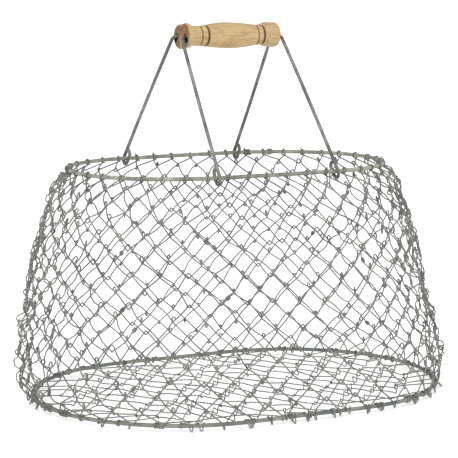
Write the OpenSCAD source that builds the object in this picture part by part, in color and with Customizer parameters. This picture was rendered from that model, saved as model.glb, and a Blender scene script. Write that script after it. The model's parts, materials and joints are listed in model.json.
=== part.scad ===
// Egg collection basket: two oval wire hoops, a netted wire wall and floor,
// and a lifting handle of two wire bails in one wooden grip.
// Origin: middle of the basket's footprint, on the surface that it stands on.

/* [Hoops] */
// Diameter of the wire of both hoops
hoop_d = 4; // [3.6:0.1:4.4]
// Length of each hoop's straight stretch, front and back
straight_l = 124; // [116:1:132]
// Radius of the rim's round ends, to the wire's centre line
rim_r = 104; // [100:1:108]
// Radius of the base hoop's round ends, to the wire's centre line
base_r = 151; // [147:1:155]
// Height of the rim above the base hoop, centre line to centre line
wall_h = 228; // [216:1:240]
// How far the rim and handle lean towards the left end
lean = 11; // [0:1:12]

/* [Netting] */
// Thickness of the netting wire
net_d = 0.9; // [0.7:0.1:1]
// Number of netting cells round the wall
cells = 42; // [36:2:46]
// Number of wires in the wall, one above the other
wall_rows = 17; // [14:1:18]
// Number of wires in the floor, one behind the other
floor_rows = 16; // [12:1:18]
// Width of one floor cell
floor_cell_w = 30; // [26:1:34]
// How far a wall wire reaches past the level where it hooks its neighbour
hook_lap = 1.5; // [1:0.1:2]
// How far a hooked loop stands in front of the loop it holds
weave = 0.8; // [0.75:0.05:0.9]

/* [Bails] */
// Diameter of the bail wire
bail_d = 3.5; // [3:0.1:3.8]
// Distance from the middle to each corner of a bail
corner_x = 56; // [55.5:0.5:57]
// Distance from the middle to each place where a bail holds the rim
hook_x = 65; // [63:0.5:67]
// Radius of the bends beside the grip, to the wire's centre line
bend_r = 5; // [4.5:0.1:5.5]
// Outside length of the eyes that hold the rim
eye_l = 20.5; // [20:0.5:24]
// Gap across the inside of an eye
eye_gap = 5.4; // [5.2:0.1:6]
// Part of the eye's length that is above the rim at rest
eye_rest = 0.6; // [0.55:0.01:0.65]

/* [Grip] */
// Height of the grip's middle above the rim
grip_rise = 130.3; // [122:0.1:138]
// Length of the grip
grip_l = 104; // [100:1:106]
// Radius at the grip's belly
belly_r = 12.8; // [12.4:0.1:14]
// Radius at the grip's necks
neck_r = 9.75; // [9.5:0.05:10.5]
// Radius of the end knobs
knob_r = 12.5; // [12:0.1:13]
// Distance of each lobe's axis from the grip's middle
lobe_y = 5.5; // [5:0.1:6]
// Distance of each wire bore from the grip's middle
bore_y = 9; // [8.5:0.1:9.5]
// Clearance all round a bail wire in its bore
bore_clear = 0.08; // [0.05:0.01:0.1]

/* [Hidden] */
function row_names(word, count) =
    [for (i = [1 : count]) str(word, i < 10 ? "_0" : "_", i)];
WALL_NAMES = row_names("wall_wire", wall_rows);
FLOOR_NAMES = row_names("floor_wire", floor_rows);

fine = 64;
galvanised = [0.52, 0.53, 0.49];
bright_wire = [0.58, 0.59, 0.56];
bare_wood = [0.84, 0.72, 0.52];

hoop_r = hoop_d / 2;
bail_r = bail_d / 2;
net_r = net_d / 2;
base_z = hoop_r;
rim_z = base_z + wall_h;
grip_z = rim_z + grip_rise;

// ---- Oval geometry -------------------------------------------------------------------------
half_straight = straight_l / 2;

function oval_length(r) = 2 * straight_l + 360 * r * PI / 180;

// Point at distance s along an oval of end radius r, counted anticlockwise from the
// middle of its front side.
function oval_point(s, r) =
    let (arc_l = PI * r)
    s < half_straight ? [s, -r] :
    s < half_straight + arc_l ? end_point(half_straight, r, -90 + (s - half_straight) / arc_l * 180) :
    s < 3 * half_straight + arc_l ? [2 * half_straight + arc_l - s, r] :
    s < 3 * half_straight + 2 * arc_l ?
        end_point(-half_straight, r, 90 + (s - 3 * half_straight - arc_l) / arc_l * 180) :
    [s - oval_length(r), -r];
function end_point(x, r, a) = [x + r * cos(a), r * sin(a)];

module oval_hoop(r, d) {
    for (side = [-1, 1]) {
        translate([side * half_straight, 0, 0])
            rotate_extrude(angle = 180, start = side > 0 ? -90 : 90, $fn = fine)
                translate([r, 0])
                    circle(d = d, $fn = fine);
        translate([-half_straight, side * r, 0])
            rotate([0, 90, 0])
                cylinder(h = straight_l, d = d, $fn = fine);
    }
}

module rim_hoop() {
    color(galvanised)
        translate([-lean, 0, rim_z])
            oval_hoop(rim_r, hoop_d);
}

module base_hoop() {
    color(galvanised)
        translate([0, 0, base_z])
            oval_hoop(base_r, hoop_d);
}

// ---- Wall netting --------------------------------------------------------------------------
// A level is a height at which two wires hook each other: 0 is the rim and wall_rows the base.
flare = base_r - rim_r;
shoulder = 0.5;
belly = 0.045;
level_spread = 1.06;
// The loops on both hoops lie outside the hoop's wire.
hoop_space = 0.3;
hoop_lap = hoop_r + net_r + weave + hoop_space;

function fall(level) = pow(max(level, 0) / wall_rows, level_spread);
function wall_r(level) =
    let (h = fall(level))
    rim_r + hoop_lap + flare * (pow(h, shoulder) + belly * sin(180 * h));
function wall_z(level) = rim_z - wall_h * fall(level);
function wall_x(level) = -lean * (1 - fall(level));

// Point of the netted wall. Side steps count half cells round the oval.
function wall_point(step, level, out) =
    let (r = wall_r(level))
    let (turn = (step + 2 * cells) % (2 * cells) / (2 * cells))
    let (p = oval_point(turn * oval_length(r), r))
    let (centre = [max(-half_straight, min(half_straight, p[0])), 0])
    let (q = p + out * unit(p - centre))
    [q[0] + wall_x(level), q[1], wall_z(level)];

function unit(v) = v / norm(v);

// Rectangle of four points across a zigzag wire at one of its knees.
function knee_section(p, up, along, slope) =
    let (out = unit(cross(along, up)))
    let (tall = net_r / cos(slope))
    [p + net_r * out + tall * up, p + net_r * out - tall * up,
     p - net_r * out - tall * up, p - net_r * out + tall * up];

// One wall wire: a zigzag all round the basket, from the level above it to the one below.
function wall_knee(row, step) =
    let (high = (step + row) % 2 == 1)
    let (level = high ? row : row + 1)
    let (lap = (high && row > 0) ? hook_lap : (!high && row < wall_rows - 1) ? -hook_lap : 0)
    let (p = wall_point(step, level, high ? weave : -weave))
    let (up = unit(wall_point(step, row, 0) - wall_point(step, row + 1, 0)))
    let (along = unit(wall_point(step + 0.5, level, 0) - wall_point(step - 0.5, level, 0)))
    let (rise = norm(wall_point(step, row, 0) - wall_point(step, row + 1, 0)))
    let (half_w = oval_length(wall_r(level)) / (2 * cells))
    knee_section(p + lap * up, up, along, atan(rise / half_w));

module wall_wire(row) {
    count = 2 * cells;
    sides = 4;
    points = [for (step = [0 : count - 1]) each wall_knee(row, step)];
    faces = [for (i = [0 : count - 1], k = [0 : sides - 1])
        let (a = i * sides, b = (i + 1) % count * sides, n = (k + 1) % sides)
        [a + k, b + k, b + n, a + n]];
    color(bright_wire)
        polyhedron(points = points, faces = faces);
}

// ---- Floor netting -------------------------------------------------------------------------
floor_space = 0.4;
floor_r = base_r - hoop_r - floor_space;
floor_pitch = 2 * floor_r / floor_rows;
floor_tall = net_r / cos(atan(2 * floor_pitch / floor_cell_w));
layer_gap = 0.1;

function floor_half(y) = half_straight + sqrt(max(floor_r * floor_r - y * y, 0));

// Distance to the end of a floor wire whose middle is at y, clear of the hoop across its width.
function floor_end(y) = floor_half(abs(y) + floor_tall) - net_d;

// Knees of one floor wire, between the line y0 in front of it and y1 behind it.
function floor_knees(row, y0, y1) =
    let (half_count = floor(2 * min(floor_half(y0), floor_half(y1)) / floor_cell_w) - 1)
    [for (k = [-half_count : half_count]) [k * floor_cell_w / 2, (k + row) % 2 == 0 ? y0 : y1]];

module floor_wire(row) {
    front = -floor_r + row * floor_pitch + floor_tall;
    back = front + floor_pitch - 2 * floor_tall;
    front_lap = row > 0 ? hook_lap : 0;
    back_lap = row < floor_rows - 1 ? hook_lap : 0;
    knees = floor_knees(row, front - front_lap, back + back_lap);
    last = len(knees) - 1;
    line = concat(
        [[-floor_end(knees[0][1]), knees[0][1]]],
        knees,
        [[floor_end(knees[last][1]), knees[last][1]]]);
    wire_outline = concat(
        [for (p = line) p + [0, floor_tall]],
        [for (i = [len(line) - 1 : -1 : 0]) line[i] - [0, floor_tall]]);
    // Neighbours lie in two layers, so that their hooked knees pass each other.
    layer_z = row % 2 == 0 ? -net_d - layer_gap : 0;
    color(bright_wire)
        translate([0, 0, base_z + layer_z])
            linear_extrude(height = net_d)
                polygon(wire_outline);
}

// ---- Bails ---------------------------------------------------------------------------------
eye_r = (eye_gap + bail_d) / 2;
hook_y = sqrt(rim_r * rim_r - pow(hook_x - half_straight, 2));
leg_reach = norm([hook_y - bore_y, grip_rise]);
leg_drop = sqrt(leg_reach * leg_reach - eye_r * eye_r);
tilt = atan2(hook_y - bore_y, grip_rise) + asin(eye_r / leg_reach);
splay = atan2(hook_x - corner_x, leg_drop);
leg_l = leg_drop / cos(splay);
corner_cut = bend_r * tan((90 - splay) / 2);
eye_straight = eye_l - 2 * (eye_r + bail_r);
eye_mid = -leg_l + (eye_rest - 0.5) * eye_l;
tip_angle = 145;
// A bend and a straight meet across a hair's gap, and a short core through the gap makes them one solid.
join_gap = 0.02;
core_l = 2;

module wire_bend(r, from, turn) {
    rotate_extrude(angle = turn, start = from, $fn = fine)
        translate([r, 0])
            circle(d = bail_d, $fn = fine);
}

// Straight wire up from z = 0, with a core through the joint at each end.
module straight_wire(h) {
    translate([0, 0, join_gap])
        cylinder(h = h - 2 * join_gap, d = bail_d, $fn = fine);
    translate([0, 0, -core_l / 2])
        cylinder(h = h + core_l, d = bail_d / 2, $fn = fine);
}

// Closed eye at the foot of a leg. The leg is its outer side, and the tip comes back to the leg.
module eye() {
    translate([0, eye_r, eye_mid]) {
        translate([0, 0, -eye_straight / 2])
            rotate([0, 90, 0])
                wire_bend(eye_r, -90, 180);
        translate([0, eye_r, -eye_straight / 2])
            straight_wire(eye_straight);
        translate([0, 0, eye_straight / 2])
            rotate([0, 90, 0])
                wire_bend(eye_r, 90, tip_angle);
    }
}

// One leg with its bend and its eye, on the +X side of a bail that hangs along -Z.
module leg() {
    foot_z = eye_mid - eye_straight / 2;
    translate([corner_x - corner_cut, 0, -bend_r])
        rotate([90, 0, 0])
            wire_bend(bend_r, splay, 90 - splay);
    translate([corner_x, 0, 0])
        rotate([0, -splay, 0]) {
            translate([0, 0, foot_z])
                straight_wire(-foot_z - corner_cut);
            eye();
        }
}

module bail() {
    translate([-lean, -bore_y, grip_z])
        rotate([-tilt, 0, 0]) {
            translate([corner_cut - corner_x, 0, 0])
                rotate([0, 90, 0])
                    straight_wire(2 * (corner_x - corner_cut));
            leg();
            mirror([1, 0, 0])
                leg();
        }
}

module front_bail() {
    color(galvanised)
        bail();
}

module back_bail() {
    color(galvanised)
        mirror([0, 1, 0])
            bail();
}

// ---- Grip ----------------------------------------------------------------------------------
half_grip = grip_l / 2;
neck_x = 34;
knob_x = 43.5;
knob_round = 3;
belly_steps = 7;
inner_groove_x = 28;
outer_groove_x = 35;
groove_w = 1.2;
groove_depth = 0.6;
// The web between the two lobes stands a little lower than they do.
web_drop = 0.25;
slot_deep = 3;
slot_w = 5.2;

// Radius of the turned wood at distance x from the middle, between the necks.
belly_curve = 1.4;
function waist_r(x) = neck_r + (belly_r - neck_r) * pow(cos(90 * x / neck_x), belly_curve);

function groove(x, r) = [[x - groove_w / 2, r], [x, r - groove_depth], [x + groove_w / 2, r]];

// Turned outline from the middle to the +X end: distance along the grip, then radius.
half_outline = concat(
    [for (i = [0 : belly_steps - 1])
        let (x = i * (inner_groove_x - 2 * groove_w) / (belly_steps - 1))
        [x, waist_r(x)]],
    groove(inner_groove_x, waist_r(inner_groove_x)),
    groove(outer_groove_x, neck_r),
    [[knob_x, knob_r], [half_grip - knob_round, knob_r],
     [half_grip - knob_round / 4, knob_r - knob_round / 4], [half_grip, knob_r - knob_round]]);

function mirror_points(points) = [for (i = [len(points) - 1 : -1 : 1]) [-points[i][0], points[i][1]]];
bar_outline = concat(mirror_points(half_outline), half_outline);

module turned_bar() {
    rotate([0, 90, 0])
        rotate_extrude($fn = fine)
            polygon(concat(
                [[0, -half_grip]],
                [for (p = bar_outline) [p[1], p[0]]],
                [[0, half_grip]]));
}

// Flat web that fills the space between the lobes, from knob to knob.
module web() {
    inside = [for (p = bar_outline) if (abs(p[0]) < knob_x) [p[0], p[1] - web_drop]];
    rotate([90, 0, 0])
        linear_extrude(height = 2 * lobe_y, center = true)
            polygon(concat(inside, [for (i = [len(inside) - 1 : -1 : 0]) [inside[i][0], -inside[i][1]]]));
}

// Wire bore, and at each end the slot through which the bail turns down.
module wire_way() {
    translate([-half_grip - 1, -bore_y, 0])
        rotate([0, 90, 0])
            cylinder(h = grip_l + 2, r = bail_r + bore_clear, $fn = fine);
    for (side = [-1, 1])
        translate([side * half_grip, -bore_y, 0])
            rotate([-tilt, 0, 0])
                translate([-slot_deep, -slot_w / 2, -2 * knob_r])
                    cube([2 * slot_deep, slot_w, 2 * knob_r]);
}

module grip() {
    color(bare_wood)
        translate([-lean, 0, grip_z])
            difference() {
                union() {
                    for (side = [-1, 1])
                        translate([0, side * lobe_y, 0])
                            turned_bar();
                    web();
                }
                wire_way();
                mirror([0, 1, 0])
                    wire_way();
            }
}

rim_hoop();
base_hoop();
front_bail();
back_bail();
grip();
for (i = [0 : wall_rows - 1])
    wall_wire(i);
for (i = [0 : floor_rows - 1])
    floor_wire(i);
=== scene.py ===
"""Egg collection basket: the looks of every piece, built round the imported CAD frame."""

import json
import math

import bpy
import numpy as np
from mathutils import Matrix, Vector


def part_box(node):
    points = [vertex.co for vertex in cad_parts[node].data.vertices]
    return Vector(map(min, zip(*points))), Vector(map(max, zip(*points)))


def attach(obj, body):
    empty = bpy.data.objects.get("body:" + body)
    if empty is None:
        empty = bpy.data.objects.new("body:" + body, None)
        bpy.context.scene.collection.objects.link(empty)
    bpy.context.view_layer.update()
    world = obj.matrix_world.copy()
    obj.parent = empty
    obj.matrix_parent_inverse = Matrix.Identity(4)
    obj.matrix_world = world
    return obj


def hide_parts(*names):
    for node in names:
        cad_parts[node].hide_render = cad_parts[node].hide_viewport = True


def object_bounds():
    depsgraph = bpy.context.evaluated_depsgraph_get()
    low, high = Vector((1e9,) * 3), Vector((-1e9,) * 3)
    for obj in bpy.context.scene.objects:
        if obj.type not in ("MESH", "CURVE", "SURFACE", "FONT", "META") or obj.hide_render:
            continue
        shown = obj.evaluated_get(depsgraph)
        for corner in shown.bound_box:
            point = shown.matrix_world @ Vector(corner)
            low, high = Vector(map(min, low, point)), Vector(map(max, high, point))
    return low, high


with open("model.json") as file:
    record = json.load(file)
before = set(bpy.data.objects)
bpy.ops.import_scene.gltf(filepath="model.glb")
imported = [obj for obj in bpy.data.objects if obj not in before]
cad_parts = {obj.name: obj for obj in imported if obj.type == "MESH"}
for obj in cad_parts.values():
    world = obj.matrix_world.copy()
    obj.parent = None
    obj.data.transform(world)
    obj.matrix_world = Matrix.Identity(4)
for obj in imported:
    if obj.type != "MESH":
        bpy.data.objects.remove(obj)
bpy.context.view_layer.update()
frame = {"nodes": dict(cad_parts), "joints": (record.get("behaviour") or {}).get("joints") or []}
MM = 0.001


RIGHTWARD = np.array([1.0, 0.0, 0.0])
BACKWARD = np.array([0.0, 1.0, 0.0])
UPWARD = np.array([0.0, 0.0, 1.0])


def unit(v):
    return v / np.linalg.norm(v)


# ---- Sizes from the frame ----
class Hoop:
    """Oval of round wire, measured from its CAD node's box. All sizes in metres."""

    def __init__(self, node):
        low, high = (np.array(corner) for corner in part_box(node))
        self.wire_r = (high[2] - low[2]) / 2
        self.end_r = (high[1] - low[1]) / 2 - self.wire_r
        self.half_straight = (high[0] - low[0]) / 2 - self.wire_r - self.end_r
        self.centre = (low + high) / 2


RIM = Hoop("rim_hoop")
BASE = Hoop("base_hoop")
WALL_NODES = sorted(n for n in frame["nodes"] if n.startswith("wall_wire_"))
FLOOR_NODES = sorted(n for n in frame["nodes"] if n.startswith("floor_wire_"))
WALL_ROWS = len(WALL_NODES)
FLOOR_ROWS = len(FLOOR_NODES)
HALF_STRAIGHT = RIM.half_straight
# Cells round the wall. A cell is two steps wide, one from each knee of a wire to the next.
CELLS = 42
STEPS = 2 * CELLS
# Wire radius of the wall's netting, of its spare ends and of the floor's netting.
NET_R = 0.72 * MM
SPARE_R = NET_R * 0.95
FLOOR_WIRE_R = 0.6 * MM
# Distance of each eye of a bail from the rim's middle, along x.
HOOK_X = 65 * MM
# Sides of the tubes for each kind of wire.
THICK_SIDES = 16
NET_SIDES = 8
SPARE_SIDES = 6
# Random phases end just short of a full circle.
PHASE_MAX = 6.28


# ---- Meshes ----
def new_object(name, data):
    made = bpy.data.objects.new(name, data)
    bpy.context.scene.collection.objects.link(made)
    return made


def new_piece(name, vertices, faces, material, body, replaces):
    """Smooth mesh object that rides on a CAD body and stands for CAD nodes."""
    mesh = bpy.data.meshes.new(name)
    mesh.from_pydata([tuple(v) for v in vertices], [], faces)
    mesh.validate()
    mesh.update()
    mesh.polygons.foreach_set("use_smooth", [True] * len(mesh.polygons))
    mesh.materials.append(material)
    piece = new_object(name, mesh)
    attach(piece, body)
    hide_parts(*replaces)
    return piece


def ring_faces(a, b, count):
    """Quads between two rings of points, given the first point of each."""
    return [(a + k, a + (k + 1) % count, b + (k + 1) % count, b + k) for k in range(count)]


def wire_tangents(points, closed):
    """Direction of a wire at each of its points."""
    ahead = np.roll(points, -1, 0) - points
    behind = points - np.roll(points, 1, 0)
    if not closed:
        ahead[-1] = behind[-1]
        behind[0] = ahead[0]
    ahead /= np.linalg.norm(ahead, axis=1)[:, None]
    behind /= np.linalg.norm(behind, axis=1)[:, None]
    tangents = ahead + behind
    tangents /= np.linalg.norm(tangents, axis=1)[:, None]
    return tangents


# A direction that no wire starts along.
OFF_WIRE = [0.31, 0.17, 0.93]


def wire_normals(tangents, closed):
    """Cross directions that turn as little as they can, and how far a closed wire's last one is turned."""
    normals = [unit(np.cross(tangents[0], OFF_WIRE))]
    for tangent in tangents[1:]:
        normals.append(unit(normals[-1] - tangent * (normals[-1] @ tangent)))
    twist = 0.0
    if closed:
        last = unit(normals[-1] - tangents[0] * (normals[-1] @ tangents[0]))
        side = np.cross(tangents[0], normals[0])
        twist = math.atan2(last @ side, last @ normals[0])
    return np.array(normals), twist


# Height of the low cone at a wire's end, as a share of its radius.
CAP_SHARE = 0.5


class Tubes:
    """Collects round wires swept along point lists into one mesh."""

    def __init__(self):
        self.vertices = []
        self.faces = []

    def add(self, points, radius, sides, closed=False):
        """Sweeps one wire, and closes its ends or joins them."""
        points = np.asarray(points, float)
        count = len(points)
        tangents = wire_tangents(points, closed)
        normals, twist = wire_normals(tangents, closed)
        binormals = np.cross(tangents, normals)
        start = len(self.vertices)
        for i in range(count):
            turn = -twist * i / count
            angles = turn + np.arange(sides) * 2 * math.pi / sides
            ring = (
                points[i]
                + radius * np.cos(angles)[:, None] * normals[i]
                + radius * np.sin(angles)[:, None] * binormals[i]
            )
            self.vertices.extend(ring)
        spans = count if closed else count - 1
        for i in range(spans):
            self.faces += ring_faces(start + i * sides, start + (i + 1) % count * sides, sides)
        if not closed:
            self.cap(start, sides, points[0] - tangents[0] * radius * CAP_SHARE, False)
            end = start + (count - 1) * sides
            self.cap(end, sides, points[-1] + tangents[-1] * radius * CAP_SHARE, True)

    def cap(self, start, sides, tip, forward):
        """Low cone that closes the end of a wire."""
        self.vertices.append(tip)
        top = len(self.vertices) - 1
        for k in range(sides):
            n = (k + 1) % sides
            pair = (start + k, start + n) if forward else (start + n, start + k)
            self.faces.append((*pair, top))

    def piece(self, name, material, body, slot, replaces):
        return new_piece(name, self.vertices, self.faces, material, body, replaces)


# ---- Materials ----
def node_material(name):
    """New material, its node tree and its shader."""
    material = bpy.data.materials.new(name)
    material.use_nodes = True
    tree = material.node_tree
    return material, tree, tree.nodes["Principled BSDF"]


def noise(tree, source, scale, detail=4.0, roughness=0.6, distortion=0.0):
    texture = tree.nodes.new("ShaderNodeTexNoise")
    texture.inputs["Distortion"].default_value = distortion
    texture.inputs["Scale"].default_value = scale
    texture.inputs["Detail"].default_value = detail
    texture.inputs["Roughness"].default_value = roughness
    tree.links.new(source, texture.inputs["Vector"])
    return texture.outputs["Fac"]


def ramp(tree, source, stops):
    """Colour ramp. stops is a list of (place, colour)."""
    node = tree.nodes.new("ShaderNodeValToRGB")
    elements = node.color_ramp.elements
    while len(elements) < len(stops):
        elements.new(0.5)
    for element, (place, colour) in zip(elements, stops):
        element.position = place
        element.color = (*colour, 1)
    tree.links.new(source, node.inputs["Fac"])
    return node.outputs["Color"]


def mix(tree, fac, first, second):
    node = tree.nodes.new("ShaderNodeMix")
    node.data_type = "RGBA"
    tree.links.new(fac, node.inputs["Factor"])
    tree.links.new(first, node.inputs["A"])
    tree.links.new(second, node.inputs["B"])
    return node.outputs["Result"]


def spread(tree, source, low, high):
    """Maps 0..1 to low..high."""
    node = tree.nodes.new("ShaderNodeMapRange")
    node.inputs["To Min"].default_value = low
    node.inputs["To Max"].default_value = high
    tree.links.new(source, node.inputs["Value"])
    return node.outputs["Result"]


def bump(tree, shader, height, strength, distance):
    node = tree.nodes.new("ShaderNodeBump")
    node.inputs["Strength"].default_value = strength
    node.inputs["Distance"].default_value = distance
    tree.links.new(height, node.inputs["Height"])
    tree.links.new(node.outputs["Normal"], shader.inputs["Normal"])


def galvanised(name, dark, light, metallic, roughness, tint, tint_scale, tint_share):
    """Dull zinc: spangled patches, fine drawing marks, a rough skin and drifts of a weathered tint."""
    material, tree, shader = node_material(name)
    coordinates = tree.nodes.new("ShaderNodeTexCoord").outputs["Object"]
    patches = noise(tree, coordinates, 160.0)
    grains = noise(tree, coordinates, 900.0)
    mottled = tree.nodes.new("ShaderNodeMath")
    mottled.operation = "MULTIPLY_ADD"
    tree.links.new(grains, mottled.inputs[0])
    mottled.inputs[1].default_value = 0.45
    tree.links.new(spread(tree, patches, -0.1, 0.65), mottled.inputs[2])
    tone = mottled.outputs["Value"]
    zinc = ramp(tree, tone, [(0.28, dark), (0.72, light)])
    drift = noise(tree, coordinates, tint_scale, 2.0, 0.5)
    blend = ramp(tree, drift, [(0.42, (0, 0, 0)), (0.60, (tint_share,) * 3)])
    flat = tree.nodes.new("ShaderNodeRGB")
    flat.outputs["Color"].default_value = (*tint, 1)
    colour = mix(tree, blend, zinc, flat.outputs["Color"])
    tree.links.new(colour, shader.inputs["Base Color"])
    shader.inputs["Metallic"].default_value = metallic
    rough = spread(tree, tone, roughness + 0.12, roughness - 0.1)
    tree.links.new(rough, shader.inputs["Roughness"])
    bump(tree, shader, grains, strength=0.35, distance=0.2 * MM)
    return material


BLUE_ZINC = (0.075, 0.10, 0.10)
DARK_ZINC = (0.045, 0.052, 0.050)
RIM_METAL = galvanised(
    "rim_galvanised", (0.15, 0.152, 0.122), (0.43, 0.43, 0.36), 0.35, 0.5, DARK_ZINC, 34.0, 0.4
)
BASE_METAL = galvanised(
    "base_galvanised", (0.13, 0.135, 0.11), (0.34, 0.34, 0.29), 0.35, 0.5, BLUE_ZINC, 14.0, 0.8
)
BAIL_METAL = galvanised(
    "bail_galvanised", (0.10, 0.106, 0.094), (0.30, 0.305, 0.275), 0.35, 0.5, DARK_ZINC, 26.0, 0.65
)
NET_METAL = galvanised(
    "net_galvanised", (0.118, 0.124, 0.111), (0.289, 0.297, 0.269), 0.3, 0.55, DARK_ZINC, 40.0, 0.5
)


def painted(tree, name, under, over):
    """Shows one colour over another by the mesh's values of this name."""
    mask = tree.nodes.new("ShaderNodeAttribute")
    mask.attribute_name = name
    return mix(tree, mask.outputs["Fac"], under, over)


def turned_wood():
    """Pale open-grained wood turned lengthwise, with burnt grooves, warm end grain and painted shade with
    some scorch in the end slots.
    """
    material, tree, shader = node_material("turned_wood")
    coordinates = tree.nodes.new("ShaderNodeTexCoord").outputs["Object"]
    stretch = tree.nodes.new("ShaderNodeMapping")
    stretch.inputs["Scale"].default_value = (0.14, 1.0, 1.0)
    tree.links.new(coordinates, stretch.inputs["Vector"])
    along = stretch.outputs["Vector"]
    figure = noise(tree, along, 230.0, 5.0, 0.6, 1.2)
    flecks = noise(tree, along, 1300.0, 3.0, 0.7)
    clouds = noise(tree, coordinates, 60.0, 3.0, 0.5)
    body_stops = [
        (0.34, (0.25, 0.155, 0.062)),
        (0.44, (0.37, 0.25, 0.115)),
        (0.54, (0.46, 0.33, 0.165)),
        (0.68, (0.53, 0.395, 0.22)),
    ]
    body = ramp(tree, figure, body_stops)
    pores = ramp(tree, flecks, [(0.36, (0.20, 0.115, 0.045)), (0.5, (0.47, 0.335, 0.172))])
    speckled = mix(tree, spread(tree, clouds, 0.15, 0.6), body, pores)
    end_tone = noise(tree, coordinates, 300.0, 4.0, 0.6)
    end_stops = [(0.35, (0.09, 0.035, 0.010)), (0.5, (0.20, 0.090, 0.029)), (0.66, (0.285, 0.165, 0.066))]
    end_colour = ramp(tree, end_tone, end_stops)
    with_ends = painted(tree, "end_grain", speckled, end_colour)
    burn_tone = ramp(tree, flecks, [(0.3, (0.055, 0.020, 0.004)), (0.7, (0.13, 0.055, 0.012))])
    with_rings = painted(tree, "burn", with_ends, burn_tone)
    # Painted shade with some scorch: a near-black tone laid over the wood in the end slots, where the bails
    # turn down.
    slot_shade_and_scorch_tone = ramp(tree, end_tone, [(0.4, (0.012, 0.008, 0.006)), (0.7, (0.05, 0.028, 0.015))])
    colour = painted(tree, "slot_shade_and_scorch", with_rings, slot_shade_and_scorch_tone)
    tree.links.new(colour, shader.inputs["Base Color"])
    tree.links.new(spread(tree, figure, 0.75, 0.5), shader.inputs["Roughness"])
    shader.inputs["Specular IOR Level"].default_value = 0.3
    bump(tree, shader, flecks, strength=0.3, distance=0.3 * MM)
    return material


WOOD = turned_wood()


# ---- Oval and wall surface ----
def oval_point(s, r):
    """Point and outward direction at distance s round an oval, anticlockwise from the middle of its front."""
    half = HALF_STRAIGHT
    arc_l = math.pi * r
    s %= 4 * half + 2 * arc_l
    if s < half:
        return np.array([s, -r]), np.array([0.0, -1.0])
    s -= half
    if s < arc_l:
        a = -math.pi / 2 + s / r
        out = np.array([math.cos(a), math.sin(a)])
        return np.array([half, 0]) + r * out, out
    s -= arc_l
    if s < 2 * half:
        return np.array([half - s, r]), np.array([0.0, 1.0])
    s -= 2 * half
    if s < arc_l:
        a = math.pi / 2 + s / r
        out = np.array([math.cos(a), math.sin(a)])
        return np.array([-half, 0]) + r * out, out
    s -= arc_l
    return np.array([s - half, -r]), np.array([0.0, -1.0])


def oval_length(r):
    return 4 * HALF_STRAIGHT + 2 * math.pi * r


# The wall widens as this power of the way down, plus a belly that is this share of the whole flare.
SHOULDER = 0.5
BELLY = 0.045
# The courses grow slightly taller towards the base.
LEVEL_SPREAD = 1.06
# The netting runs this far outside the middle of each hoop's wire.
HOOP_LAP = RIM.wire_r + 1.55 * MM
# Steps round and down the wall over which its directions are taken.
TURN_STEP = 0.002
LEVEL_STEP = 0.3


def smooth(t):
    """0 up to 0, 1 from 1 on, and a soft rise between."""
    t = max(0.0, min(1.0, t))
    return t * t * (3 - 2 * t)


# How far the netting stands out of its even shape at each end: (height down the wall, mm outward).
LEFT_BULGE = ((0, -3), (0.05, -5.5), (0.11, -3.5), (0.2, 0), (0.4, 8.8), (0.65, 9.8), (0.9, 12), (1, 12))
RIGHT_BULGE = (
    (0, -3.5), (0.13, -5), (0.2, -2.5), (0.28, 0.5), (0.36, -3.5), (0.5, -5), (0.66, 2), (0.8, 4.8), (1, 6.5)
)


def bulge(stops, place):
    """Distance at a place on the line through (place, mm) stops."""
    return float(np.interp(place, [stop[0] for stop in stops], [stop[1] * MM for stop in stops]))


def fall(level):
    """Share of the wall's height above a course."""
    return (max(level, 0.0) / WALL_ROWS) ** LEVEL_SPREAD


def wall_point(turn, level, out=0.0):
    """Point of the netted wall. turn is 0..1 round the oval, level 0 at the rim and WALL_ROWS at the base."""
    h = fall(level)
    flare = BASE.end_r - RIM.end_r
    r = RIM.end_r + HOOP_LAP + flare * (h**SHOULDER + BELLY * math.sin(math.pi * h))
    place, outward = oval_point(turn * oval_length(r), r)
    left = max(0.0, -outward[0]) ** 2
    right = max(0.0, outward[0]) ** 2
    free = smooth(level) * smooth(WALL_ROWS - level)
    out += free * (left * bulge(LEFT_BULGE, h) + right * bulge(RIGHT_BULGE, h))
    x = RIM.centre[0] * (1 - h) + BASE.centre[0] * h
    z = RIM.centre[2] + (BASE.centre[2] - RIM.centre[2]) * h
    return np.array([place[0] + out * outward[0] + x, place[1] + out * outward[1], z])


def wall_axes(turn, level):
    """Directions along the wall, up it and out of it."""
    along = unit(wall_point(turn + TURN_STEP, level) - wall_point(turn - TURN_STEP, level))
    up = unit(wall_point(turn, max(level - LEVEL_STEP, 0)) - wall_point(turn, level + LEVEL_STEP))
    out = unit(np.cross(along, up))
    up = np.cross(out, along)
    return np.array([along, up, out])


def looseness(axes):
    """How loose the netting is: 0 along the front and back, up to 1 at the round ends."""
    return axes[2][0] ** 2


# ---- Knots ----
# A knot's first draw gives its style. In an "up" one the wire that points up curls, in a "down" one
# the wire that points down, and in a "clasp" the two only hook each other.
UP_BELOW = 0.46
DOWN_BELOW = 0.68


class Knot:
    """Place where a wire's tip, pointing up, hooks the tip of the next wire, pointing down."""

    def __init__(self, place, axes, rng):
        self.place = place
        self.axes = axes
        draw = rng.random(8)
        self.style = "up" if draw[0] < UP_BELOW else "down" if draw[0] < DOWN_BELOW else "clasp"
        loose = looseness(axes)
        self.size = (0.85 + 0.5 * draw[1]) * (1 + 0.85 * loose) * MM
        self.tall = 1.2 + 0.9 * max(0.0, draw[2] - 0.35)
        self.twist = math.radians(-55 + 110 * draw[3]) * (1 + 0.5 * loose)
        self.tilt = math.radians(-16 + 32 * draw[4])
        self.sharp = (0.45 + 0.6 * draw[5]) * MM
        self.reach = (1.1 + 1.3 * draw[6]) * (1 + loose) * MM

    def world(self, local):
        """Place in the basket of a point that is given along the knot's own directions."""
        return self.place + np.asarray(local) @ self.axes


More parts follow.
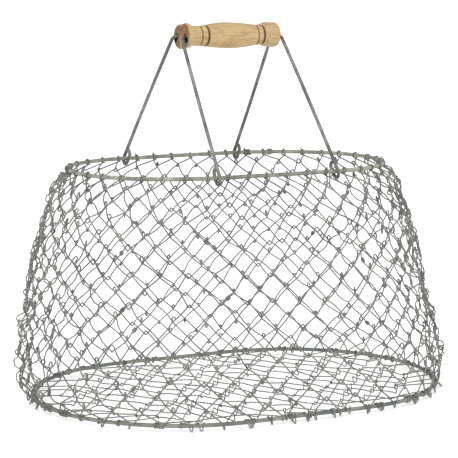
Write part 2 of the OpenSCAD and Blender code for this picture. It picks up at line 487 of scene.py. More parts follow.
# How far a wire stands in front of or behind the one that it hooks.
WEAVE = 0.5 * MM
LOOP_WEAVE = 1.5 * WEAVE
LEG_ANGLE = math.radians(48)
# Straight wire on each side of a rounded tip.
TIP_LEAD = 1.6 * MM
# Height and weave of the plain tip that a curl goes round.
PLAIN_REACH = 0.35 * MM
PLAIN_SIDE = 0.6


def tip_points(height, radius, side):
    """Rounded tip pointing up, from its left leg to its right leg. side is the weave's sense."""
    a = LEG_ANGLE
    centre = height - radius
    arc = [math.radians(90) + a * (1 - 2 * i / 4) for i in range(5)]
    tip = [np.array([radius * math.cos(t), centre + radius * math.sin(t)]) for t in arc]
    down_left = np.array([-math.cos(a), -math.sin(a)])
    down_right = np.array([math.cos(a), -math.sin(a)])
    flat = [tip[0] + down_left * TIP_LEAD, *tip, tip[-1] + down_right * TIP_LEAD]
    last = len(flat) - 1
    return [np.array([p[0], p[1], side * WEAVE * (1 - 2 * i / last)]) for i, p in enumerate(flat)]


def loop_points(knot, side):
    """Full curl pointing up: the wire comes from the left, turns over the top and crosses itself."""
    a = LEG_ANGLE
    r = knot.size
    low = -0.5 * r
    centre = low + r / math.cos(a)
    spans = 9
    start, end = a - math.pi / 2, 1.5 * math.pi - a
    points = []
    for i in range(spans + 1):
        t = start + (end - start) * i / spans
        x, y = r * math.cos(t), centre + r * math.sin(t)
        n = LOOP_WEAVE * math.cos(math.pi * i / spans)
        points.append(np.array([x, low + (y - low) * knot.tall, side * n]))
    cross_in = np.array([-0.6 * r, low - 0.7 * r, side * LOOP_WEAVE])
    cross_out = np.array([0.6 * r, low - 0.7 * r, -side * LOOP_WEAVE])
    points = [cross_in, *points, cross_out]
    turned = []
    for p in points:
        c, s = math.cos(knot.tilt), math.sin(knot.tilt)
        x, y = p[0] * c - p[1] * s, p[0] * s + p[1] * c
        turned.append(np.array([x * math.cos(knot.twist), y, p[2] + x * math.sin(knot.twist)]))
    return turned


def knee(knot, way):
    """The wire whose tip points up (way 1) or down (way -1) at a knot."""
    if knot.style == "clasp":
        points = tip_points(knot.reach, knot.sharp, way)
    elif knot.style == ("up" if way > 0 else "down"):
        points = loop_points(knot, way)
    else:
        points = tip_points(PLAIN_REACH, knot.sharp, way * PLAIN_SIDE)
    return [p * np.array([1, way, 1]) for p in points]


# Strands that run down stand out of the wall by this much, and those that run up stand in.
STRAND_LIFT = 1.3 * MM
# The first course is pulled nearly straight by the rim.
FIRST_SLACK = 0.2
# How much more freely strands and knots move where the netting is loosest.
LOOSE_GAIN = 1.5
# Places of a strand's two middle points, and the length from which it bows in full.
STRAND_PLACES = (0.3, 0.7)
FULL_BOW_L = 14 * MM


def strand(a, b, axes, rng, lift=0.0, slack=1.0):
    """Points between two knees, slightly bowed."""
    loose = 1 + LOOSE_GAIN * looseness(axes)
    bow = rng.normal(0, 0.42) * loose * slack * MM
    puff = rng.normal(0.3, 0.5) * loose * slack * MM + lift * loose
    length = np.linalg.norm(b - a)
    side = np.cross(unit(b - a), axes[2])
    push = side * bow + axes[2] * puff
    full = min(1, length / FULL_BOW_L)
    return [a + (b - a) * t + push * math.sin(math.pi * t) * full for t in STRAND_PLACES]


# ---- Wraps round the hoops ----
# Points in one turn of wire round a hoop, and the least that a part of a turn has.
TURN_POINTS = 9
LEAST_POINTS = 3
WRAP_GAP = 0.06 * MM


class Spot:
    """Place on a hoop's wire, round which netting wire winds."""

    def __init__(self, hoop, centre, along, outward):
        self.centre = centre
        self.along = along
        self.outward = outward
        self.radius = hoop.wire_r + NET_R + WRAP_GAP

    def wrap(self, turns, start, pitch, shift):
        """Turns of wire. Angles go from outward (0) to up (90 degrees), pitch and shift along the hoop."""
        points = []
        steps = max(LEAST_POINTS, round(TURN_POINTS * abs(turns)))
        for i in range(steps + 1):
            a = start + 2 * math.pi * turns * i / steps
            slide = shift + pitch * i / steps
            spoke = self.outward * math.cos(a) + UPWARD * math.sin(a)
            points.append(self.centre + self.along * slide + self.radius * spoke)
        return points


def hoop_spot(turn, hoop):
    """Spot at a share of the way round a hoop."""
    place, outward = oval_point(turn * oval_length(hoop.end_r), hoop.end_r)
    centre = np.array([place[0] + hoop.centre[0], place[1], hoop.centre[2]])
    outward = np.array([*outward, 0.0])
    return Spot(hoop, centre, np.cross(UPWARD, outward), outward)


# Share of the wraps round the rim that leave a spare end on top.
SPARE_END_SHARE = 0.4
# A spare end runs this far beside its wrap.
BESIDE = 2.1 * NET_R


def rim_wrap(turn, rng):
    """The top course's wire, which climbs behind the rim and slants over its face, and its spare end."""
    spot = hoop_spot(turn, RIM)
    slide = rng.uniform(1.2, 2.0) * MM
    behind, below = math.radians(250), math.radians(-60)
    top = math.radians(90)
    points = spot.wrap(-1.0, behind, -2 * slide, slide)
    if rng.random() > SPARE_END_SHARE:
        return points, None

    def slide_at(angle):
        """How far along the rim the wrap is at this angle."""
        return slide * (1 - 2 * (behind - angle) / (2 * math.pi))

    rise = slide_at(top) - slide_at(below)
    turns = (top - below) / (2 * math.pi)
    second = spot.wrap(turns, below, rise, slide_at(below) + BESIDE)
    stub = rng.uniform(0.4, 2.2) * MM
    tip = second[-1] + UPWARD * stub + spot.along * rng.uniform(-0.4, 1.0) * MM
    bend = second[-1] - spot.outward * 0.3 * MM + UPWARD * 0.35 * MM
    return points, [*second, bend, tip]


BIGHT_SPANS = 6


def bight_points(centre, spot, rng):
    """A loose bend of wire that stands out under the base hoop."""
    wide = 1 + 0.9 * max(0.0, spot.outward[0])
    width = rng.uniform(0.8, 2.8) * wide * MM
    drop = rng.uniform(0.8, 3.6) * MM
    reach = rng.uniform(0.4, 3.2) * wide * MM
    sharp = rng.uniform(0.7, 1.6)
    bight = []
    for i in range(BIGHT_SPANS + 1):
        t = i / BIGHT_SPANS
        deep = math.sin(math.pi * t) ** sharp
        side = (2 * t - 1) * width * (0.6 + 0.4 * deep)
        point = centre + spot.along * side + spot.outward * (spot.radius + reach * deep)
        point[2] = centre[2] - 0.4 * BASE.wire_r - (0.6 * BASE.wire_r + drop) * deep
        bight.append(point)
    return bight


# Share of the wraps round the base hoop that leave no bight.
CLOSE_SHARE = 0.22


def base_wrap(turn, rng):
    """The bottom course's wire winds round the base hoop, and most turns leave a small bight under it."""
    spot = hoop_spot(turn, BASE)
    slide = rng.uniform(0.6, 1.6) * MM
    if rng.random() < CLOSE_SHARE:
        return spot.wrap(-1.1, math.radians(60), 2 * slide, -slide)
    down = spot.wrap(-0.3, math.radians(70), slide, -1.5 * slide)
    return [*down[:3], *bight_points(spot.centre + spot.along * 0.4 * slide, spot, rng)]


def spare_bight(tubes, turn, rng):
    """One more bight beside the wraps, where a floor wire's end is tucked in."""
    spot = hoop_spot(turn, BASE)
    bight = bight_points(spot.centre, spot, rng)
    before, after = ((point - spot.centre) @ spot.along for point in (bight[0], bight[-1]))
    start = math.radians(-24)
    down = spot.wrap(0.45, start, -1.5 * MM, before)
    up = spot.wrap(0.4, start, 1.5 * MM, after)
    tubes.add([*reversed(down), *bight[1:-1], *up], NET_R, SPARE_SIDES)


# The eyes hang this far round the rim from the middle of its front or back, and need this much room.
EYE_TURN = HOOK_X / oval_length(RIM.end_r)
EYE_ROOM = 12 * MM / oval_length(RIM.end_r)


def from_eye(turn):
    """How far round the rim the nearest eye is, in turns."""
    return abs(min(turn % 0.5, 0.5 - turn % 0.5) - EYE_TURN)


def clear_of_eyes(rng):
    """Random place round the rim, away from the four eyes."""
    while True:
        turn = rng.random()
        if from_eye(turn) > EYE_ROOM:
            return turn


def hoop_coil(tubes, hoop, turn, turns, rng):
    """Spare end of netting wire wound several times along a hoop."""
    length = turns * rng.uniform(1.15, 2.2) * MM
    start = rng.uniform(0, 2 * math.pi)
    tubes.add(hoop_spot(turn, hoop).wrap(turns, start, length, -length / 2), NET_R, NET_SIDES)


# ---- Wall netting ----
# Waves of the courses' drift: size, waves round the wall, and how far each course shifts them.
DRIFT_WAVES = ((0.22, 2, 0.09), (0.16, 5, -0.13), (0.10, 9, 0.21))


def wave(turn, level, phases):
    """Slow drift of the courses, as hand work has."""
    drift = 0.0
    for (size, waves, shift), phase in zip(DRIFT_WAVES, phases):
        drift += size * math.sin(2 * math.pi * (waves * turn + shift * level) + phase)
    return drift


# The cells are narrower round the ends than along the front and back, below the first courses.
END_CROWDING = 0.11
CROWDING_COURSES = 3


def crowded(turn, level):
    """Place round the wall of an evenly spaced knot once the ends' cells are narrowed."""
    share = END_CROWDING * smooth((level - 1) / CROWDING_COURSES)
    return turn + share * math.sin(4 * math.pi * turn) / (4 * math.pi)


# The first course sags by at least this share of a course under each eye.
UNDER_EYE = 0.18
# How far the drift and chance move a knot, in steps to the side and in courses down.
SIDE_DRIFT = 0.5
DOWN_DRIFT = 0.55
SIDE_JITTER = 0.06
DOWN_JITTER = 0.075
# How far chance moves a knot out of the wall, in mm, where the netting is tight.
OUT_JITTER = 0.8


def wall_knots():
    """Knots of the wall by (level, step)."""
    rng = np.random.default_rng(7)
    side_phases = rng.uniform(0, PHASE_MAX, len(DRIFT_WAVES))
    down_phases = rng.uniform(0, PHASE_MAX, len(DRIFT_WAVES))
    knots = {}
    for level in range(WALL_ROWS + 1):
        edge = min(level, WALL_ROWS - level)
        free = min(1.0, edge / 2)
        for step in range(STEPS):
            if (step + level) % 2 == 0:
                continue
            turn0 = step / STEPS
            side_wave = SIDE_DRIFT * wave(turn0, level, side_phases)
            side = side_wave * (0.4 + 0.6 * free) + rng.normal(0, SIDE_JITTER)
            down = free * (DOWN_DRIFT * wave(turn0, level, down_phases) + rng.normal(0, DOWN_JITTER))
            if level == 1 and from_eye(turn0) < 0.5 / STEPS:
                down = max(down, UNDER_EYE)
            turn = crowded((step + side) / STEPS, level)
            place_level = level + down
            axes = wall_axes(turn, place_level)
            out = free * rng.normal(0, OUT_JITTER + LOOSE_GAIN * looseness(axes)) * MM
            place = wall_point(turn % 1.0, place_level, out)
            knot = Knot(place, axes, rng)
            knot.turn = turn
            knots[level, step] = knot
    return knots


# Spare ends wound round strands: their share, the length of each turn, and its points.
SPLICE_SHARE = 0.009
SPLICE_PITCH = 1.15 * MM
SPLICE_POINTS = 8


def twisted_splice(tubes, a, b, rng):
    """Spare wire end wound tightly round a strand."""
    middle = a + (b - a) * rng.uniform(0.45, 0.55)
    along = unit(b - a)
    side = unit(np.cross(along, [0.3, 0.2, 0.9]))
    other = np.cross(along, side)
    half = min(rng.uniform(1.6, 3.2) * MM, 0.4 * np.linalg.norm(b - a))
    turns = 2 * half / SPLICE_PITCH
    count = int(turns * SPLICE_POINTS)
    points = []
    for i in range(count + 1):
        t = i / count
        angle = 2 * math.pi * turns * t
        swell = 0.55 + 0.75 * math.sin(math.pi * t)
        r = NET_R + NET_R * swell
        spoke = side * math.cos(angle) + other * math.sin(angle)
        points.append(middle + along * half * (2 * t - 1) + r * spoke)
    tubes.add(points, SPARE_R, SPARE_SIDES)


RIM_COILS = 3
BASE_COILS = 7
SPARE_BIGHTS = 34


def wall_piece(row, knots, rng):
    """One course of the wall: a closed zigzag of wire, with the spare ends that belong to it."""
    tubes = Tubes()
    path = []
    knees = []
    for step in range(STEPS):
        high = (step + row) % 2 == 1
        level = row if high else row + 1
        knot = knots[level, step]
        if level == 0:
            points, tail = rim_wrap(knot.turn, rng)
            if tail:
                tubes.add(tail, SPARE_R, SPARE_SIDES)
        elif level == WALL_ROWS:
            points = base_wrap(knot.turn, rng)
        else:
            points = [knot.world(p) for p in knee(knot, 1 if high else -1)]
        knees.append((points, knot))
    for i, (points, knot) in enumerate(knees):
        nxt, _ = knees[(i + 1) % STEPS]
        path.extend(points)
        down = 1 if (i + row) % 2 == 1 else -1
        lift = down * STRAND_LIFT if 0 < row < WALL_ROWS - 1 else 0.0
        slack = FIRST_SLACK if row == 0 else 1.0
        between = strand(points[-1], nxt[0], knot.axes, rng, lift, slack)
        path.extend(between)
        if 0 < row < WALL_ROWS - 1 and rng.random() < SPLICE_SHARE:
            twisted_splice(tubes, *between, rng)
    if row == 0:
        for _ in range(RIM_COILS):
            hoop_coil(tubes, RIM, clear_of_eyes(rng), rng.uniform(2, 3.5), rng)
    if row == WALL_ROWS - 1:
        for _ in range(BASE_COILS):
            hoop_coil(tubes, BASE, rng.random(), rng.uniform(1.3, 2.8), rng)
        for _ in range(SPARE_BIGHTS):
            spare_bight(tubes, rng.random(), rng)
    tubes.add(path, NET_R, NET_SIDES, closed=True)
    name = f"wall_net_{row + 1:02d}"
    tubes.piece(name, NET_METAL, "basket", "net_wire", [WALL_NODES[row]])


# ---- Floor netting ----
FLOOR_CELL = 30 * MM
FLOOR_R = BASE.end_r - BASE.wire_r - 0.4 * MM
FLOOR_PITCH = 2 * FLOOR_R / FLOOR_ROWS


def floor_half(y):
    """Half the length of the floor at a distance from its middle."""
    return HALF_STRAIGHT + math.sqrt(max(FLOOR_R**2 - y**2, 0.0))


def floor_knots():
    """Knots of the floor by (line, step), line 0 along the front."""
    rng = np.random.default_rng(11)
    reach = int(2 * (HALF_STRAIGHT + FLOOR_R) / FLOOR_CELL) + 2
    knots = {}
    for line in range(FLOOR_ROWS + 1):
        y0 = -FLOOR_R + line * FLOOR_PITCH
        for k in range(-reach, reach + 1):
            if (k + line) % 2:
                continue
            edge = line in (0, FLOOR_ROWS)
            x = k * FLOOR_CELL / 2 + rng.normal(0, 1.5) * MM
            y = y0 if edge else y0 + rng.normal(0, 1.6) * MM
            z = BASE.centre[2] + rng.normal(0.2, 0.5) * MM
            lift = math.radians(rng.uniform(15, 75)) * (1 if rng.random() < 0.75 else -0.6)
            up = np.array([0.0, math.cos(lift), math.sin(lift)])
            axes = np.array([RIGHTWARD, up, np.cross(RIGHTWARD, up)])
            knot = Knot(np.array([x, y, z]), np.eye(3) if edge else axes, rng)
            knot.twist *= 0.6
            knot.style = "clasp" if rng.random() < 0.55 else knot.style
            knot.reach *= 1.5
            knots[line, k] = knot
    return knots


def hoop_crossing(y, side):
    """Turn round the base hoop where a floor wire at y reaches it, at the +X or -X side."""
    a = math.asin(max(-1.0, min(1.0, y / BASE.end_r)))
    along_arc = HALF_STRAIGHT + BASE.end_r * (a + math.pi / 2)
    length = oval_length(BASE.end_r)
    s = along_arc if side > 0 else length - along_arc
    return (s % length) / length


def floor_end(y, side, rng):
    """A floor wire's end: it passes over the base hoop and winds round it."""
    drift = rng.uniform(0.8, 2.0) * MM * (1 if rng.random() < 0.5 else -1)
    turns = -rng.uniform(1.1, 1.9)
    return hoop_spot(hoop_crossing(y, side), BASE).wrap(turns, math.radians(150), drift, 0.0)


def floor_edge_knee(knot, front, rng):
    """A knee of the first or last floor wire, looped round the straight stretch of the base hoop."""
    sign = -1 if front else 1
    centre = np.array([knot.place[0], sign * BASE.end_r, BASE.centre[2]])
    half = rng.uniform(0.6, 1.8) * MM
    spot = Spot(BASE, centre, RIGHTWARD, sign * BACKWARD)
    return spot.wrap(-1.0, math.radians(170), 2 * half, -half)


def floor_piece(row, knots, rng):
    """One wire of the floor: a zigzag from end to end, wound round the base hoop at both."""
    y0 = -FLOOR_R + row * FLOOR_PITCH
    y1 = y0 + FLOOR_PITCH
    reach = int(2 * min(floor_half(y0), floor_half(y1)) / FLOOR_CELL) - 1
    path = []
    for k in range(-reach, reach + 1):
        front = (k + row) % 2 == 0
        line = row if front else row + 1
        knot = knots[line, k]
        if line in (0, FLOOR_ROWS):
            points = floor_edge_knee(knot, line == 0, rng)
        else:
            points = [knot.world(p) for p in knee(knot, -1 if front else 1)]
        if path:
            path.extend(strand(path[-1], points[0], knot.axes, rng))
        path.extend(points)
    first_y = y0 if (-reach + row) % 2 == 0 else y1
    last_y = y0 if (reach + row) % 2 == 0 else y1
    mid = (y0 + y1) / 2
    left = floor_end(0.5 * (first_y + mid), -1, rng)
    right = floor_end(0.5 * (last_y + mid), 1, rng)
    head = left[::-1]
    path = [*head, *strand(head[-1], path[0], np.eye(3), rng), *path]
    path = [*path, *strand(path[-1], right[0], np.eye(3), rng), *right]
    tubes = Tubes()
    tubes.add(path, FLOOR_WIRE_R, NET_SIDES)
    name = f"floor_net_{row + 1:02d}"
    tubes.piece(name, NET_METAL, "basket", "net_wire", [FLOOR_NODES[row]])


# ---- Hoops ----
HOOP_POINTS = 420
# Waves of a hoop's wire, outward and upward: size, and waves round the hoop.
OUT_WAVES = ((0.12 * MM, 7), (0.08 * MM, 17))
RISE_WAVES = ((0.10 * MM, 5), (0.06 * MM, 13))


def ripple(waves, angle, phases):
    return sum(size * math.sin(count * angle + phase) for (size, count), phase in zip(waves, phases))


def hoop_piece(name, hoop, node, material, seed):
    """Hoop of thick wire, very slightly wavy, as bent by hand."""
    phases = np.random.default_rng(seed).uniform(0, PHASE_MAX, 4)
    length = oval_length(hoop.end_r)
    points = []
    for i in range(HOOP_POINTS):
        place, outward = oval_point(length * i / HOOP_POINTS, hoop.end_r)
        angle = 2 * math.pi * i / HOOP_POINTS
        out = ripple(OUT_WAVES, angle, phases[:2])
        rise = ripple(RISE_WAVES, angle, phases[2:])
        x = place[0] + hoop.centre[0] + out * outward[0]
        points.append([x, place[1] + out * outward[1], hoop.centre[2] + rise])
    tubes = Tubes()
    tubes.add(points, hoop.wire_r, THICK_SIDES, closed=True)
    tubes.piece(name, material, "basket", "hoop_wire", [node])


# ---- Bails ----
BAIL_R = 1.75 * MM
# Bores of the grip: their distance from its middle, and their radius.
BORE_Y = 9 * MM
BORE_R = BAIL_R + 0.14 * MM
# Where a bail's top would meet its leg if the bend between them were sharp.
CORNER_X = 56 * MM
BEND_R = 5 * MM
LEG_BOW = 0.5 * MM
# Each eye: its length, its width inside, and how far down it the rim lies, as a share.
EYE_L = 20.5 * MM
EYE_GAP = 5.4 * MM
EYE_REST = 0.6
# How far the eye's tip turns over at its top.
EYE_TIP_TURN = math.radians(142)
TOP_POINTS = 8
LEG_SPANS = 14
BACK_SPANS = 3


def arc3(centre, first, second, radius, start, end, count):
    """Arc in the plane of two directions, angles in radians from first towards second."""
    angles = [start + (end - start) * i / (count - 1) for i in range(count)]
    return [centre + radius * (first * math.cos(a) + second * math.sin(a)) for a in angles]


def bail_half(grip_z):
    """Points of half a bail hanging straight, from the middle of its top to its eye's tip, and its tilt."""
    eye_r = EYE_GAP / 2 + BAIL_R
    hook_y = math.sqrt(RIM.end_r**2 - (HOOK_X - HALF_STRAIGHT) ** 2)
    rise = grip_z - RIM.centre[2]
    reach = math.hypot(hook_y - BORE_Y, rise)
    leg_drop = math.sqrt(reach**2 - eye_r**2)
    tilt = math.atan2(hook_y - BORE_Y, rise) + math.asin(eye_r / reach)
    splay = math.atan2(HOOK_X - CORNER_X, leg_drop)
    leg_l = leg_drop / math.cos(splay)
    bend_cut = BEND_R * math.tan((math.pi / 2 - splay) / 2)
    leg_down = np.array([math.sin(splay), 0, -math.cos(splay)])
    points = [RIGHTWARD * x for x in np.linspace(0, CORNER_X - bend_cut, TOP_POINTS)]
    bend_centre = RIGHTWARD * (CORNER_X - bend_cut) - UPWARD * BEND_R
    points += arc3(bend_centre, UPWARD, RIGHTWARD, BEND_R, 0, math.pi / 2 - splay, 9)[1:]
    corner = RIGHTWARD * CORNER_X
    eye_straight = EYE_L - 2 * (eye_r + BAIL_R)
    eye_mid = leg_l - (EYE_REST - 0.5) * EYE_L
    foot = eye_mid + eye_straight / 2
    for i in range(1, LEG_SPANS + 1):
        t = i / LEG_SPANS
        d = bend_cut + (foot - bend_cut) * t
        points.append(corner + leg_down * d + RIGHTWARD * LEG_BOW * math.sin(math.pi * t))
    eye_centre = corner + leg_down * foot + BACKWARD * eye_r
    points += arc3(eye_centre, -BACKWARD, leg_down, eye_r, 0, math.pi, 13)[1:]
    back = corner + BACKWARD * 2 * eye_r
    for i in range(1, BACK_SPANS + 1):
        points.append(back + leg_down * (foot - eye_straight * i / BACK_SPANS))
    top_centre = corner + leg_down * (foot - eye_straight) + BACKWARD * eye_r
    points += arc3(top_centre, BACKWARD, -leg_down, eye_r, 0, EYE_TIP_TURN, 10)[1:]
    return points, tilt


def bail_piece(name, node, body, side):
    """One bail, leaning from its bore to the front (side -1) or the back (side 1) of the rim."""
    joint = next(j for j in frame["joints"] if j["child"] == body)
    axis = np.array(joint["pos_m"])
    half, tilt = bail_half(axis[2])
    c, s = math.cos(-tilt), math.sin(-tilt)
    turn = np.array([[1, 0, 0], [0, c, -s], [0, s, c]])
    mirror = np.array([-1.0, 1.0, 1.0])
    left = [p * mirror for p in reversed(half[1:])]
    points = np.array([*left, *half]) @ turn.T
    if side > 0:
        points = points * np.array([1.0, -1.0, 1.0])
    tubes = Tubes()
    tubes.add(points + axis, BAIL_R, THICK_SIDES)
    tubes.piece(name, BAIL_METAL, body, "bail_wire", [node])
    return tilt


# ---- Grip ----
GRIP_LOW, GRIP_HIGH = (np.array(corner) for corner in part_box("grip"))
GRIP_CENTRE = (GRIP_LOW + GRIP_HIGH) / 2
GRIP_HALF = (GRIP_HIGH[0] - GRIP_LOW[0]) / 2
BELLY_R = (GRIP_HIGH[2] - GRIP_LOW[2]) / 2
LOBE_Y = (GRIP_HIGH[1] - GRIP_LOW[1]) / 2 - BELLY_R
NECK_R = 9.75 * MM
KNOB_R = 12.5 * MM
NECK_X = 34 * MM
# Each knob's flare: where it starts and where it is full. The -X knob is only a short lip.
RIGHT_FLARE = (35.5 * MM, 46.5 * MM)
LEFT_FLARE = (42.5 * MM, 48.5 * MM)
# The belly falls to the necks as this power of a cosine.
BELLY_POWER = 1.4
# Depth and width of the crease between a knob's two lobes.
VALLEY = 1.3 * MM
VALLEY_W = 0.2
KNOB_ROUND = 3 * MM
KNOB_ROUND_SHARE = 0.75
# The -X end of the grip is rolled a little.
END_ROLL = math.radians(-7)
SLOT_W = 5.2 * MM
SLOT_DEEP = 3 * MM
SLOT_L = 4.5 * MM
# Painted shade with some scorch reaches this far past a slot's walls and floor.
SLOT_SHADE_AND_SCORCH_SIDE = 0.15 * MM
SLOT_SHADE_AND_SCORCH_DEEP = 0.2 * MM
# Points round the grip, and steps along it: fine near grooves and ends.
GRIP_POINTS = 112
FINE_STEP = 0.25 * MM
COARSE_STEP = 1.0 * MM
NEAR_GROOVE = 2.2 * MM
NEAR_END = 3.4 * MM
# Rings that close each end of the grip, as shares of its outline.
END_RINGS = (0.85, 0.7, 0.55, 0.4, 0.25, 0.1)


# Burnt rings round the grip: place along it, width, depth, and how burnt.
GROOVES = (
    (-35 * MM, 0.8 * MM, 0.5 * MM, 0.72),
    (-28 * MM, 1.25 * MM, 0.9 * MM, 1.0),
    (28 * MM, 0.8 * MM, 0.5 * MM, 0.66),
    (35 * MM, 1.25 * MM, 0.9 * MM, 1.0),
)


def groove_share(x, place, width):
    """1 in the middle of a groove, falling to almost 0 at twice the width."""
    return math.exp(-(((x - place) / width) ** 2))


def knob_share(x):
    """0 from neck to neck, and 1 where a knob is full."""
    start, full = LEFT_FLARE if x < 0 else RIGHT_FLARE
    return smooth((abs(x) - start) / (full - start))


def grip_radius(x):
    """Turned radius at distance x from the grip's middle."""
    a = abs(x)
    if a < NECK_X:
        r = NECK_R + (BELLY_R - NECK_R) * math.cos(math.pi / 2 * a / NECK_X) ** BELLY_POWER
    else:
        r = NECK_R + (KNOB_R - NECK_R) * knob_share(x)
    edge = GRIP_HALF - a
    if edge < KNOB_ROUND:
        rounded = math.sqrt(max(KNOB_ROUND**2 - (KNOB_ROUND - edge) ** 2, 0.0))
        r -= KNOB_ROUND_SHARE * (KNOB_ROUND - rounded)
    for place, width, depth, _ in GROOVES:
        r -= depth * groove_share(x, place, width)
    return r


def grip_section(x):
    """Ring of points across the grip: a flat-sided bar that parts into two lobes at its ends."""
    r = grip_radius(x)
    knob = knob_share(x)
    roll = END_ROLL * smooth(-x / GRIP_HALF)
    ring = []
    for i in range(GRIP_POINTS):
        a = 2 * math.pi * i / GRIP_POINTS
        c, s = math.cos(a), math.sin(a)
        lobe = LOBE_Y * abs(c) + math.sqrt(max(r * r - (LOBE_Y * s) ** 2, 0.0))
        flat = r / max(abs(s), 1e-6)
        bar = flat if flat * abs(c) < LOBE_Y else lobe
        crease = VALLEY * knob * math.exp(-((c / VALLEY_W) ** 2))
        distance = lobe + (bar - lobe) * (1 - knob) - crease
        ring.append((distance * math.cos(a + roll), distance * math.sin(a + roll)))
    return ring


def prism(outline, start, end):
    """Solid between start and end along x. The outline's (y, z) points turn from +y to +z."""
    vertices = [GRIP_CENTRE + np.array([x, y, z]) for x in sorted((start, end)) for y, z in outline]
    count = len(outline)
    faces = [tuple(reversed(range(count))), tuple(range(count, 2 * count))]
    for k in range(count):
        n = (k + 1) % count
        faces.append((k, n, n + count, k + count))
    mesh = bpy.data.meshes.new("cutter")
    mesh.from_pydata([tuple(v) for v in vertices], [], faces)
    return mesh


def slot_cutter(side_x, side_y, tilt):
    """Solid that cuts the slot in which a bail turns down at one end of the grip."""
    arc = [(SLOT_W / 2 * math.cos(t), SLOT_W / 2 * math.sin(t)) for t in np.linspace(0, math.pi, 9)]
    foot = [(-x, -SLOT_L - z) for x, z in arc]
    lean = side_y * tilt
    outline = []
    for across, up in [*arc, *foot]:
        y = side_y * BORE_Y + across * math.cos(lean) - up * math.sin(lean)
        outline.append((y, across * math.sin(lean) + up * math.cos(lean)))
    return prism(outline, side_x * (GRIP_HALF - SLOT_DEEP), side_x * (GRIP_HALF + SLOT_DEEP))


def bore_cutter(side_y):
    """Solid that cuts the bore for one bail through the whole grip."""
    turns = np.linspace(0, 2 * math.pi, 32, endpoint=False)
    outline = [(side_y * BORE_Y + BORE_R * math.cos(t), BORE_R * math.sin(t)) for t in turns]
    return prism(outline, -(GRIP_HALF + SLOT_DEEP), GRIP_HALF + SLOT_DEEP)


def cut(piece, mesh):
    """Takes a solid away from a piece."""
    cutter = new_object("cutter", mesh)
    modifier = piece.modifiers.new("cut", "BOOLEAN")
    modifier.object = cutter
    modifier.solver = "EXACT"
    depsgraph = bpy.context.evaluated_depsgraph_get()
    result = bpy.data.meshes.new_from_object(piece.evaluated_get(depsgraph))
    piece.modifiers.clear()
    piece.data = result
    bpy.data.objects.remove(cutter)
    bpy.data.meshes.remove(mesh)


def grip_stations():
    """Places along the grip, close together at the grooves and the ends."""
    xs = []
    x = -GRIP_HALF
    while x < GRIP_HALF - 1e-9:
        xs.append(x)
        near = min(abs(x - groove[0]) for groove in GROOVES)
        edge = GRIP_HALF - abs(x)
        x += FINE_STEP if near < NEAR_GROOVE or edge < NEAR_END else COARSE_STEP
    return [*xs, GRIP_HALF]


def close_end(vertices, faces, first, x):
    """Closes the grip's end at x, whose outline starts at vertex first, with rings that shrink to a tip."""
    count = GRIP_POINTS
    rings = [first]
    for share in END_RINGS:
        rings.append(len(vertices))
        for k in range(count):
            v = vertices[first + k] - GRIP_CENTRE
            vertices.append(GRIP_CENTRE + np.array([x, v[1] * share, v[2] * share]))
    vertices.append(GRIP_CENTRE + np.array([x, 0, 0]))
    tip = len(vertices) - 1
    for a, b in zip(rings, rings[1:]):
        for k in range(count):
            n = (k + 1) % count
            quad = (a + k, b + k, b + n, a + n)
            faces.append(tuple(reversed(quad)) if x > 0 else quad)
    for k in range(count):
        triangle = (rings[-1] + k, tip, rings[-1] + (k + 1) % count)
        faces.append(tuple(reversed(triangle)) if x > 0 else triangle)


def grip_piece(tilt):
    """Turned grip with its two bores and four end slots. tilt is how far each bail leans."""
    xs = grip_stations()
    vertices = []
    for x in xs:
        vertices += [GRIP_CENTRE + np.array([x, y, z]) for y, z in grip_section(x)]
    faces = []
    for i in range(len(xs) - 1):
        faces += ring_faces(i * GRIP_POINTS, (i + 1) * GRIP_POINTS, GRIP_POINTS)
    close_end(vertices, faces, 0, -GRIP_HALF)
    close_end(vertices, faces, (len(xs) - 1) * GRIP_POINTS, GRIP_HALF)
    piece = new_piece("turned_grip", vertices, faces, WOOD, "grip", ["grip"])
    for side_y in (-1, 1):
        cut(piece, bore_cutter(side_y))
        for side_x in (-1, 1):
            cut(piece, slot_cutter(side_x, side_y, tilt))
    paint_grip(piece, tilt)


def in_slot(place, tilt):
    """1.0 for a point of the grip in or at an end slot, where painted shade with some scorch goes, otherwise
    0.0.
    """
    if abs(place[0]) < GRIP_HALF - SLOT_DEEP - SLOT_SHADE_AND_SCORCH_DEEP:
        return 0.0
    lean = math.copysign(tilt, place[1])
    y, z = place[1] - math.copysign(BORE_Y, place[1]), place[2]
    across = abs(y * math.cos(lean) + z * math.sin(lean))
    up = -y * math.sin(lean) + z * math.cos(lean)
    past = max(up, -SLOT_L - up, 0.0)
    return 1.0 if math.hypot(across, past) < SLOT_W / 2 + SLOT_SHADE_AND_SCORCH_SIDE else 0.0


def paint_grip(piece, tilt):
    """Vertex values for the wood: burnt rings, painted shade with some scorch in the slots, and bare end
    grain.
    """
    burn, slot_shade_and_scorch, end = [], [], []
    for vertex in piece.data.vertices:
        spot = np.array(vertex.co) - GRIP_CENTRE
        x, y, z = spot
        shades = [1.6 * burnt * groove_share(x, place, 0.8 * width) for place, width, _, burnt in GROOVES]
        burn.append(min(1.0, max(shades)))
        # Mask of the painted shade, with some scorch, in and at the end slots.
        slot_shade_and_scorch.append(in_slot(spot, tilt))
        pale = math.exp(-((y / (3.2 * MM)) ** 2)) * smooth(0.5 - z / (9 * MM))
        end.append(smooth(1 - (GRIP_HALF - abs(x)) / (1.6 * MM)) * (1 - 0.9 * pale))
    for name, values in (("burn", burn), ("slot_shade_and_scorch", slot_shade_and_scorch), ("end_grain", end)):
        attribute = piece.data.attributes.new(name, "FLOAT", "POINT")
        attribute.data.foreach_set("value", values)


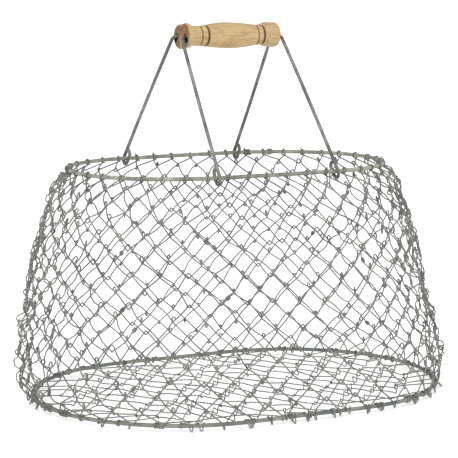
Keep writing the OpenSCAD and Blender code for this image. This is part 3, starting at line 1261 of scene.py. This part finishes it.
# ---- Build ----
hoop_piece("rim_wire", RIM, "rim_hoop", RIM_METAL, 3)
hoop_piece("base_wire", BASE, "base_hoop", BASE_METAL, 5)
BAIL_TILT = bail_piece("front_bail_wire", "front_bail", "front_bail", -1)
bail_piece("back_bail_wire", "back_bail", "back_bail", 1)
grip_piece(BAIL_TILT)
WALL_KNOTS = wall_knots()
wall_rng = np.random.default_rng(23)
for wall_row in range(WALL_ROWS):
    wall_piece(wall_row, WALL_KNOTS, wall_rng)
FLOOR_KNOTS = floor_knots()
floor_rng = np.random.default_rng(29)
for floor_row in range(FLOOR_ROWS):
    floor_piece(floor_row, FLOOR_KNOTS, floor_rng)

# ---- Camera ----
AZIMUTH = math.radians(-27.7)
ELEVATION = math.radians(8.0)
DISTANCE = 1.970
AIM_Z = 0.1634
AIM_RIGHT = -0.0082
LENS = 151.9
SENSOR_WIDTH = 36.0
CLIP_END = 200.0


def placed(right, up, back, place):
    """Matrix of an object at a place, given its own x, y and z directions."""
    return Matrix([[right[i], up[i], back[i], place[i]] for i in range(3)] + [[0, 0, 0, 1]])


def add_camera():
    level = math.cos(ELEVATION)
    back = np.array([math.sin(AZIMUTH) * level, -math.cos(AZIMUTH) * level, math.sin(ELEVATION)])
    right = np.array([math.cos(AZIMUTH), math.sin(AZIMUTH), 0.0])
    up = np.cross(back, right)
    aim = np.array([0.0, 0.0, AIM_Z]) + right * AIM_RIGHT
    data = bpy.data.cameras.new("camera")
    data.lens = LENS
    data.sensor_width = SENSOR_WIDTH
    data.clip_end = CLIP_END
    camera = new_object("camera", data)
    camera.matrix_world = placed(right, up, back, aim + back * DISTANCE)
    bpy.context.scene.camera = camera


add_camera()

# ---- Stage ----
# The floor lies just under the lowest loop of wire.
FLOOR_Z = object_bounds()[0][2] - 0.1 * MM
FLOOR_HALF = 60.0
LIGHT_TARGET = np.array([0, 0, 0.15])


def stage_floor():
    """Plain pale floor, wide enough to meet the pale background."""
    material, _, shader = node_material("studio_floor")
    shader.inputs["Base Color"].default_value = (0.92, 0.92, 0.92, 1)
    shader.inputs["Roughness"].default_value = 0.9
    shader.inputs["Emission Color"].default_value = (1, 1, 1, 1)
    shader.inputs["Emission Strength"].default_value = 0.26
    mesh = bpy.data.meshes.new("studio_floor")
    signs = [(-1, -1), (1, -1), (1, 1), (-1, 1)]
    mesh.from_pydata([(x * FLOOR_HALF, y * FLOOR_HALF, FLOOR_Z) for x, y in signs], [], [(0, 1, 2, 3)])
    mesh.materials.append(material)
    new_object("studio_floor", mesh)


def area_light(name, place, size, power):
    """Square light at a place, facing the basket."""
    data = bpy.data.lights.new(name, "AREA")
    data.size = size
    data.energy = power
    light = new_object(name, data)
    back = unit(np.array(place) - LIGHT_TARGET)
    right = unit(np.cross(UPWARD, back))
    light.matrix_world = placed(right, np.cross(back, right), back, place)


def white_world():
    world = bpy.data.worlds.new("studio")
    bpy.context.scene.world = world
    world.use_nodes = True
    background = world.node_tree.nodes["Background"]
    background.inputs["Color"].default_value = (1, 1, 1, 1)
    background.inputs["Strength"].default_value = 1.0


stage_floor()
area_light("key", (-1.6, -1.8, 2.4), size=1.4, power=38)
area_light("fill", (2.2, -1.2, 1.2), size=1.6, power=12)
white_world()
bpy.context.scene.view_settings.view_transform = "Standard"
